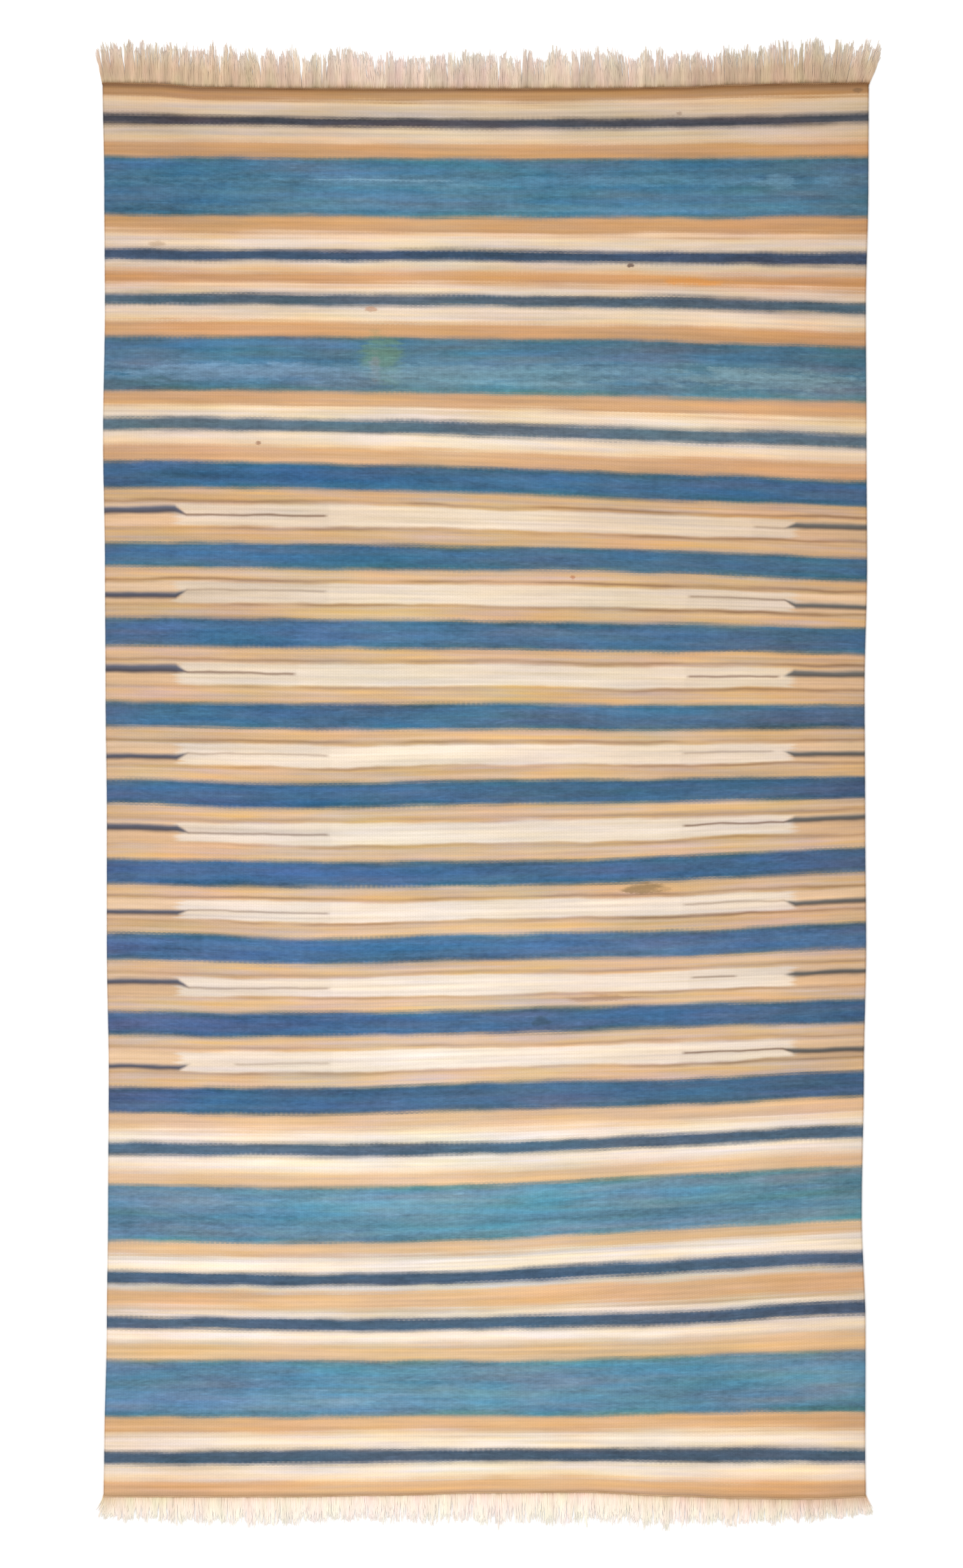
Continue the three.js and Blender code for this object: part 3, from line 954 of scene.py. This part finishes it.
def bake_map_of_cloth(mesh, downs, columns):
    """The map that an export paints: each side of the cloth in two halves, its rims in narrow strips.

    From left to right: the upper side's halves, the under side's narrower halves and the rims.
    """
    points, face, first = faces_of(mesh)
    rows, stride = len(downs) - 1, columns + 1
    under = points >= stride * (rows + 1)
    row, column = points % (stride * (rows + 1)) // stride, points % stride
    all_under = np.logical_and.reduceat(under, first)[face]
    rim = all_under != np.logical_or.reduceat(under, first)[face]
    top_row = np.minimum.reduceat(row, first)[face]
    at_an_end = top_row == np.maximum.reduceat(row, first)[face]
    at, across, half = np.array(downs)[row], column / columns, rows // 2
    lower = top_row >= half
    along = np.where(lower, (at - downs[half]) / (1 - downs[half]), at / downs[half])
    start = np.where(all_under, np.where(lower, 0.865, 0.75), np.where(lower, 0.3775, 0.005))
    u = start + np.where(all_under, 0.11, 0.36) * across
    strip = np.where(at_an_end, np.where(row == 0, 0, 1), np.where(column == 0, 2, 3))
    u = np.where(rim, 0.978 + 0.005 * strip + 0.003 * under, u)
    v = np.where(rim, np.where(at_an_end, across, at), along)
    add_map(mesh, "OFBake", u, 0.004 + 0.992 * v)


def shown(name, mesh):
    piece = bpy.data.objects.new(name, mesh)
    bpy.context.scene.collection.objects.link(piece)
    return piece


def share_along(across, y):
    """How far up the rug a place is, as a share of the way between its woven ends there."""
    return (y - bottom_end(across)) / (top_end(across) - bottom_end(across))


def woven_cloth():
    """The cloth is a closed sheet whose rows of points follow its wefts and whose ribs are its warps."""
    inset_x, inset_y, thinner_at_rim = 1.6, 0.4, 0.6
    near_end = [0.0, 0.8 / WEFT_LENGTH, 3.0 / WEFT_LENGTH]
    even = [j / EVEN_ROWS for j in range(1, EVEN_ROWS)]
    downs = near_end + even + [1 - at for at in reversed(near_end)]
    rows, columns = len(downs) - 1, CLOTH_COLUMNS
    points, weave = [], []
    for side in (1, -1):
        for j, down in enumerate(downs):
            left_y = weft_height(0.0, down)
            right_y = weft_height(1.0, down)
            left_x = left_edge(share_along(0, left_y)) + inset_x
            right_x = right_edge(share_along(1, right_y)) - inset_x
            pull = inset_y if j == 0 else -inset_y if j == rows else 0
            for i in range(columns + 1):
                across = i / columns
                x = left_x + (right_x - left_x) * across
                y = weft_height(across, down) - pull
                rib = RIB_HEIGHT if i % 2 else -RIB_HEIGHT
                rib *= 0.75 + 0.35 * math.sin(i * 1.7 + j * 0.35) * math.sin(j * 0.9 + i * 0.013)
                edge = thinner_at_rim if i in (0, columns) or j in (0, rows) else 0.0
                z = HALF_WAY_UP + ripple(x, y) + side * (CLOTH_THICKNESS / 2 - edge + rib)
                points.append(place(x, y, z))
                weave.append((across * CLOTH_WIDTH * MM, down * WEFT_LENGTH * MM))

    stride = columns + 1
    under = stride * (rows + 1)
    faces = []
    for j in range(rows):
        for i in range(columns):
            a = j * stride + i
            faces.append((a, a + stride, a + stride + 1, a + 1))
            faces.append((under + a, under + a + 1, under + a + stride + 1, under + a + stride))
    for i in range(columns):
        bottom = rows * stride + i
        faces.append((i, i + 1, under + i + 1, under + i))
        faces.append((bottom + 1, bottom, under + bottom, under + bottom + 1))
    for j in range(rows):
        left, right = j * stride, j * stride + columns
        faces.append((left + stride, left, under + left, under + left + stride))
        faces.append((right, right + stride, under + right + stride, under + right))
    mesh = mesh_of("woven_cloth_wefts", points, faces)
    corners = np.array(weave)[faces_of(mesh)[0]]
    add_map(mesh, "weave", corners[:, 0], corners[:, 1])
    bake_map_of_cloth(mesh, downs, columns)
    mesh.materials.append(WEFTS)
    mesh.shade_smooth()
    return shown("woven_cloth_visible", mesh)


# Trees that make what repeats along an edge


def new_tree(name, inputs):
    """A geometry tree with these named inputs; gives the tree, its input node and their identifiers."""
    tree = bpy.data.node_groups.new(name, "GeometryNodeTree")
    tree.interface.new_socket("Geometry", in_out="OUTPUT", socket_type="NodeSocketGeometry")
    tree.interface.new_socket("Geometry", in_out="INPUT", socket_type="NodeSocketGeometry")
    ids = {}
    for title, kind in inputs:
        socket = tree.interface.new_socket(title, in_out="INPUT", socket_type="NodeSocket" + kind)
        ids[title] = socket.identifier
    start = tree.nodes.new("NodeGroupInput")
    return tree, start.outputs, ids


def end_tree(tree, geometry, material):
    """Makes instances real, gives the finish and closes the tree."""
    real = add(tree, "GeometryNodeRealizeInstances", {0: geometry})
    smooth = add(tree, "GeometryNodeSetShadeSmooth", {0: real})
    dressed = add(tree, "GeometryNodeSetMaterial", {"Geometry": smooth, "Material": material})
    add(tree, "NodeGroupOutput", {0: dressed})


def tube_along(tree, curve, sides, radius, **scale):
    """A closed tube with so many sides along a curve."""
    section = add(tree, "GeometryNodeCurvePrimitiveCircle", {
        "Resolution": sides, "Radius": radius,
    }, mode="RADIUS")
    return add(tree, "GeometryNodeCurveToMesh", {
        "Curve": curve, "Profile Curve": section, "Fill Caps": True, **scale,
    })


def grow(name, tree, ids, guide, values):
    """Runs a tree on a guide mesh and keeps the result as a plain mesh."""
    holder = shown(name + "_guide", guide)
    modifier = holder.modifiers.new("grow", "NODES")
    modifier.node_group = tree
    for title, value in values.items():
        modifier[ids[title]] = value
    depsgraph = bpy.context.evaluated_depsgraph_get()
    mesh = bpy.data.meshes.new_from_object(holder.evaluated_get(depsgraph))
    holder.modifiers.remove(modifier)
    bpy.data.objects.remove(holder)
    mesh.name = name
    return shown(name, mesh)


def path_guide(name, points, weave=None):
    """A line of joined points, with the weave's place at each."""
    edges = [(i, i + 1) for i in range(len(points) - 1)]
    mesh = mesh_of(name, points, edges=edges)
    if weave is not None:
        layer = mesh.attributes.new("weave_at", "FLOAT_VECTOR", "POINT")
        layer.data.foreach_set("vector", np.array(weave, np.float32).ravel())
    return mesh


def selvedge_tree():
    """Weft turns round the edge warps: a short bent yarn, repeated down a selvedge."""
    tree, given, ids = new_tree("weft turns", [
        ("Pitch", "Float"), ("Turn radius", "Float"), ("Yarn radius", "Float"),
        ("Outwards", "Vector"), ("Seed", "Int"), ("Finish", "Material"),
    ])
    path = add(tree, "GeometryNodeMeshToCurve", {0: given["Geometry"]})
    stops = add(tree, "GeometryNodeResampleCurve", {"Curve": path, "Length": given["Pitch"]}, mode="LENGTH")
    arc = add(tree, "GeometryNodeCurveArc", {
        "Resolution": TURN_JOINTS, "Radius": given["Turn radius"],
        "Start Angle": math.radians(-TURN_ANGLE / 2), "Sweep Angle": math.radians(TURN_ANGLE),
    }, mode="RADIUS")
    turn = tube_along(tree, arc, YARN_SIDES, given["Yarn radius"])
    facing = add(tree, "FunctionNodeAxesToRotation", {
        0: add(tree, "GeometryNodeInputTangent"), 1: given["Outwards"],
    }, primary_axis="Z", secondary_axis="X")
    size = add(tree, "FunctionNodeRandomValue", {
        2: 0.95, 3: 1.04, "Seed": given["Seed"],
    }, output=1, data_type="FLOAT")
    turns = add(tree, "GeometryNodeInstanceOnPoints", {
        "Points": stops, "Instance": turn, "Rotation": facing, "Scale": size,
    })
    end_tree(tree, turns, given["Finish"])
    return tree, ids


def cord_tree():
    """Two yarns twined about each other along an end."""
    tree, given, ids = new_tree("twined cord", [
        ("Step", "Float"), ("Twist pitch", "Float"), ("Lay radius", "Float"), ("Yarn radius", "Float"),
        ("Finish", "Material"),
    ])
    path = add(tree, "GeometryNodeMeshToCurve", {0: given["Geometry"]})
    fine = add(tree, "GeometryNodeResampleCurve", {"Curve": path, "Length": given["Step"]}, mode="LENGTH")
    length = add(tree, "GeometryNodeSplineParameter", output=1)
    tangent = add(tree, "GeometryNodeInputTangent")
    sideways = add(tree, "ShaderNodeVectorMath", {0: tangent, 1: (0, 0, 1)}, operation="CROSS_PRODUCT")
    turn = calc(tree, "MULTIPLY", calc(tree, "DIVIDE", length, given["Twist pitch"]), 2 * math.pi)
    strands = tree.nodes.new("GeometryNodeJoinGeometry")
    for phase in (0.0, math.pi):
        angle = calc(tree, "ADD", turn, phase)
        out = calc(tree, "MULTIPLY", calc(tree, "COSINE", angle), given["Lay radius"])
        up = calc(tree, "MULTIPLY", calc(tree, "SINE", angle), given["Lay radius"])
        shift = add(tree, "ShaderNodeVectorMath", {0: sideways, "Scale": out}, operation="SCALE")
        lift = add(tree, "ShaderNodeCombineXYZ", {2: up})
        offset = add(tree, "ShaderNodeVectorMath", {0: shift, 1: lift}, operation="ADD")
        strand = add(tree, "GeometryNodeSetPosition", {"Geometry": fine, "Offset": offset})
        tree.links.new(tube_along(tree, strand, YARN_SIDES, given["Yarn radius"]), strands.inputs[0])
    end_tree(tree, strands.outputs[0], given["Finish"])
    return tree, ids


def fringe_tree():
    """Cut warps: each guide is one strand, tapered at its tip and waved as it untwists."""
    tree, given, ids = new_tree("warp strands", [
        ("Joints", "Int"), ("Yarn radius", "Float"), ("Wave", "Float"), ("Finish", "Material"),
    ])
    path = add(tree, "GeometryNodeMeshToCurve", {0: given["Geometry"]})
    smooth = add(tree, "GeometryNodeCurveSplineType", {0: path}, spline_type="CATMULL_ROM")
    fine = add(tree, "GeometryNodeResampleCurve", {"Curve": smooth, "Count": given["Joints"]}, mode="COUNT")
    share = add(tree, "GeometryNodeSplineParameter", output=0)
    noise = add(tree, "ShaderNodeTexNoise", {"Scale": 90.0, "Detail": 1.0}, output=1, noise_dimensions="3D")
    centred = add(tree, "ShaderNodeVectorMath", {0: noise, 1: (0.5, 0.5, 0.5)}, operation="SUBTRACT")
    level = add(tree, "ShaderNodeVectorMath", {0: centred, 1: (1.0, 1.0, 0.0)}, operation="MULTIPLY")
    strength = calc(tree, "MULTIPLY", calc(tree, "MULTIPLY", share, share), given["Wave"])
    offset = add(tree, "ShaderNodeVectorMath", {0: level, "Scale": strength}, operation="SCALE")
    waved = add(tree, "GeometryNodeSetPosition", {"Geometry": fine, "Offset": offset})
    rise = rescale(tree, share, 0.0, 0.06, 0.05, 1.0)
    fall = rescale(tree, share, 0.6, 1.0, 1.0, 0.42)
    radius = calc(tree, "MULTIPLY", calc(tree, "MULTIPLY", rise, fall), given["Yarn radius"])
    thick = add(tree, "GeometryNodeSetCurveRadius", {"Curve": waved, "Radius": radius})
    marked = add(tree, "GeometryNodeStoreNamedAttribute", {
        "Geometry": thick, "Name": "yarn_share", "Value": share,
    }, data_type="FLOAT", domain="POINT")
    tube = tube_along(tree, marked, STRAND_SIDES, 1.0, Scale=radius)
    end_tree(tree, tube, given["Finish"])
    return tree, ids


def selvedge_guide(side):
    """Points down one selvedge, with the weave's place at each."""
    steps, inset = 240, 2.1
    points, weave = [], []
    across = 0.0 if side == "left" else 1.0
    for j in range(steps + 1):
        down = j / steps
        y = weft_height(across, down)
        along = share_along(across, y)
        x = left_edge(along) + inset if side == "left" else right_edge(along) - inset
        points.append(place(x, y, HALF_WAY_UP + ripple(x, y)))
        weave.append((across * CLOTH_WIDTH * MM, down * WEFT_LENGTH * MM, 0))
    return path_guide(side + "_selvedge_line", points, weave)


def end_guide(end):
    """Points along one woven end, where its cord lies."""
    steps, outside, lift = 200, 0.7, 0.2
    corner = 1 if end == "top" else 0
    left, right = left_edge(corner), right_edge(corner)
    points = []
    for i in range(steps + 1):
        across = i / steps
        x = left * (1 - across) + right * across
        y = top_end(across) + outside if end == "top" else bottom_end(across) - outside
        points.append(place(x, y, HALF_WAY_UP + lift + ripple(x, y)))
    return path_guide(end + "_end_line", points)


def lifted(reach, least):
    """A group's reach, with most of what it falls short of the least one made up."""
    return reach if reach >= least else round(least - (least - reach) * SHORTFALL_KEPT)


def evened(tufts, least_seen, least_shown, further, own_share, upright_outside):
    """The groups as they reach, each brought nearer its neighbours and upright at the corners."""
    reaches = []
    for at, reach, _ in tufts:
        more = next(extra for until, extra in further if at <= until)
        reaches.append(lifted(lifted(reach, least_seen) + more, least_shown))
    starts = [0] + [at for at, _, _ in tufts[:-1]]
    widths = [row[0] - start for start, row in zip(starts, tufts)]
    middles = [(row[0] + start) / 2 for start, row in zip(starts, tufts)]
    rows = []
    for (at, _, lean), reach, middle in zip(tufts, reaches, middles):
        weights = [w * max(0, 1 - abs(m - middle) / NEIGHBOURS_WITHIN) for w, m in zip(widths, middles)]
        usual = sum(w * r for w, r in zip(weights, reaches)) / sum(weights)
        upright = at <= upright_outside[0] or at >= upright_outside[1]
        rows.append((at, round(usual + (reach - usual) * own_share), 0 if upright else lean))
    return rows


def strand_line(root, sign, own, bend, twist):
    """The points of one strand, from inside the cloth's end to its tip on the floor."""
    root_x, edge_y = root
    lean, fan_out, spread, pinch = bend
    line = []
    for share in STRAND_POINTS:
        out = -STARTS_INSIDE + (own + STARTS_INSIDE) * share
        sway = lean * share ** 2 + fan_out * share ** 1.1
        sway += spread * share ** 1.6 - pinch * share ** 2
        x = root_x + twist[0] * (1 if share < UNTWISTED_FROM else UNTWISTED_SHARE) + sway
        y = edge_y + sign * out
        resting = HALF_WAY_UP + ripple(x, y) if share == 0 else STRAND_HEIGHT
        z = resting * (1 - share) + TIP_HEIGHT * share + twist[1] * (1 - share)
        line.append(place(x, y, max(STRAND_LEAST_HEIGHT, z)))
    return line


def fringe_guides(end, tufts, fan):
    """One short line of points for each strand of the cut warps."""
    sign = 1 if end == "top" else -1
    corner = 1 if end == "top" else 0
    left, right = left_edge(corner), right_edge(corner)
    points, edges = [], []
    for warp in range(WARPS):
        across = (warp + 0.5) / WARPS
        from_left = across * CLOTH_WIDTH
        number = 0
        while number < len(tufts) - 1 and tufts[number][0] < from_left:
            number += 1
        start = tufts[number - 1][0] if number else 0
        stop, reach, lean = tufts[number]
        spot = (from_left - start) / (stop - start) * 2 - 1
        pinch = PINCH * (stop - start) / 2
        reach *= 1 - SHORTER_AT_RIM * spot * spot + random.uniform(*WARP_REACH)
        fan_out = follow(fan, from_left, 1)
        edge_y = top_end(across) if end == "top" else bottom_end(across)
        root = (left + (right - left) * across, edge_y)
        wisp = random.gauss(0, WARP_STRAYS)
        near_corner = min(warp, WARPS - 1 - warp) < CORNER_WARPS
        strands = STRANDS_PER_WARP + (EXTRA_AT_CORNERS if near_corner else 0)
        for strand in range(strands):
            angle = 2 * math.pi * strand / strands + warp
            twist = (TWIST_WIDTH * math.cos(angle), TWIST_HEIGHT * math.sin(angle))
            spread = wisp + random.gauss(0, STRAND_STRAYS)
            own = reach * random.triangular(*STRAND_REACH)
            own_lean = lean * (LEANS_LESS if strand % LEANS_LESS_EVERY == 0 else 1.0)
            line = strand_line(root, sign, own, (own_lean, fan_out, spread, spot * pinch), twist)
            first = len(points)
            points += line
            edges += [(first + k, first + k + 1) for k in range(len(line) - 1)]
    return mesh_of(end + "_strand_lines", points, edges=edges)


cloth = woven_cloth()
turns, turn_ids = selvedge_tree()
cords, cord_ids = cord_tree()
strands, strand_ids = fringe_tree()

selvedge_pieces = []
for side, outwards in (("left", (-1.0, 0.0, 0.0)), ("right", (1.0, 0.0, 0.0))):
    selvedge_pieces.append(grow("selvedge_" + side, turns, turn_ids, selvedge_guide(side), {
        "Pitch": 2.2 * MM, "Turn radius": 1.05 * MM, "Yarn radius": 0.95 * MM,
        "Outwards": outwards, "Seed": 5, "Finish": WEFTS,
    }))

cord_pieces = []
for end, finish in (("top", TOP_CORD), ("bottom", BOTTOM_CORD)):
    cord_pieces.append(grow("end_cord_" + end, cords, cord_ids, end_guide(end), {
        "Step": 1.3 * MM, "Twist pitch": 7.0 * MM, "Lay radius": 0.8 * MM, "Yarn radius": 1.0 * MM,
        "Finish": finish,
    }))

top_tufts = evened(
    TOP_TUFTS, least_seen=46, least_shown=48, further=TOP_REACHES_FURTHER,
    own_share=0.6, upright_outside=(26, 1170),
)
bottom_tufts = evened(
    BOTTOM_TUFTS, least_seen=0, least_shown=0, further=BOTTOM_REACHES_FURTHER,
    own_share=0.5, upright_outside=(14, 1181),
)
fringe_pieces = []
for end, tufts, fan, finish in (
    ("top", top_tufts, TOP_FAN, TOP_WARPS),
    ("bottom", bottom_tufts, BOTTOM_FAN, BOTTOM_WARPS),
):
    guide = fringe_guides(end, tufts, fan)
    fringe_pieces.append(grow("warp_fringe_" + end, strands, strand_ids, guide, {
        "Joints": STRAND_JOINTS, "Yarn radius": 0.74 * MM, "Wave": 8.0 * MM, "Finish": finish,
    }))

# The turns carry the weave's place as a vector; the finish reads it as a map
for piece in selvedge_pieces:
    mesh = piece.data
    at_point = np.zeros(len(mesh.vertices) * 3, np.float32)
    mesh.attributes["weave_at"].data.foreach_get("vector", at_point)
    corners = at_point.reshape(-1, 3)[faces_of(mesh)[0]]
    add_map(mesh, "weave", corners[:, 0], corners[:, 1])
    mesh.attributes.remove(mesh.attributes["weave_at"])
    bake_map_of_yarns(mesh, YARN_SIDES, TURN_JOINTS, TURN_JOINTS - 1, TURNS_IN_A_ROW)
for piece in cord_pieces:
    rings = len(piece.data.vertices) // (2 * YARN_SIDES)
    bake_map_of_yarns(piece.data, YARN_SIDES, rings, math.ceil((rings - 1) / CORD_STRETCHES), 1)
for piece in fringe_pieces:
    bake_map_of_yarns(piece.data, STRAND_SIDES, STRAND_JOINTS, STRAND_JOINTS - 1, STRANDS_IN_A_ROW)

everything = [cloth, *selvedge_pieces, *cord_pieces, *fringe_pieces]
for piece in everything:
    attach(piece, "root")
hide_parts("woven_cloth")
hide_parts("fringe_top")
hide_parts("fringe_bottom")


# Floor, light and camera

FLOOR_HALF = 15
floor_corners = [(x * FLOOR_HALF, y * FLOOR_HALF, 0) for x, y in ((-1, -1), (1, -1), (1, 1), (-1, 1))]
floor_mesh = mesh_of("floor", floor_corners, [(0, 1, 2, 3)])
floor = shown("floor", floor_mesh)
floor.location.z = -0.1 * MM
floor_finish, floor_tree = new_finish("pale_floor")
floor_shader = add(floor_tree, "ShaderNodeBsdfPrincipled", {
    "Base Color": (0.9, 0.9, 0.9, 1.0), "Roughness": 0.95, "Specular IOR Level": 0.1,
})
add(floor_tree, "ShaderNodeOutputMaterial", {"Surface": floor_shader})
floor_mesh.materials.append(floor_finish)

world = bpy.data.worlds.new("studio")
world.use_nodes = True
background = world.node_tree.nodes["Background"]
background.inputs["Color"].default_value = WHITE
background.inputs["Strength"].default_value = 0.95
bpy.context.scene.world = world

softbox = bpy.data.lights.new("softbox", "AREA")
softbox.shape = "RECTANGLE"
softbox.size = 5.0
softbox.size_y = 5.0
softbox.energy = 260
softbox_object = bpy.data.objects.new("softbox", softbox)
softbox_object.location = (-2.4, 2.6, 7.0)
softbox_object.rotation_euler = (math.radians(-20), math.radians(-19), 0)
bpy.context.scene.collection.objects.link(softbox_object)

# A picture of this many pixels, from this high, shows a millimetre of the rug as a pixel
PICTURE_HEIGHT = 2463
LENS = 85
SENSOR = 36
camera = bpy.data.cameras.new("camera")
camera.lens = LENS
camera.sensor_width = SENSOR
camera.sensor_fit = "AUTO"
camera_object = bpy.data.objects.new("camera", camera)
camera_object.location = (
    MIDDLE[0] - 6.5 * MM,
    MIDDLE[1] + 11 * MM,
    PICTURE_HEIGHT * MM * LENS / SENSOR + 4 * MM,
)
bpy.context.scene.collection.objects.link(camera_object)
bpy.context.scene.camera = camera_object
bpy.context.scene.view_settings.view_transform = "Standard"
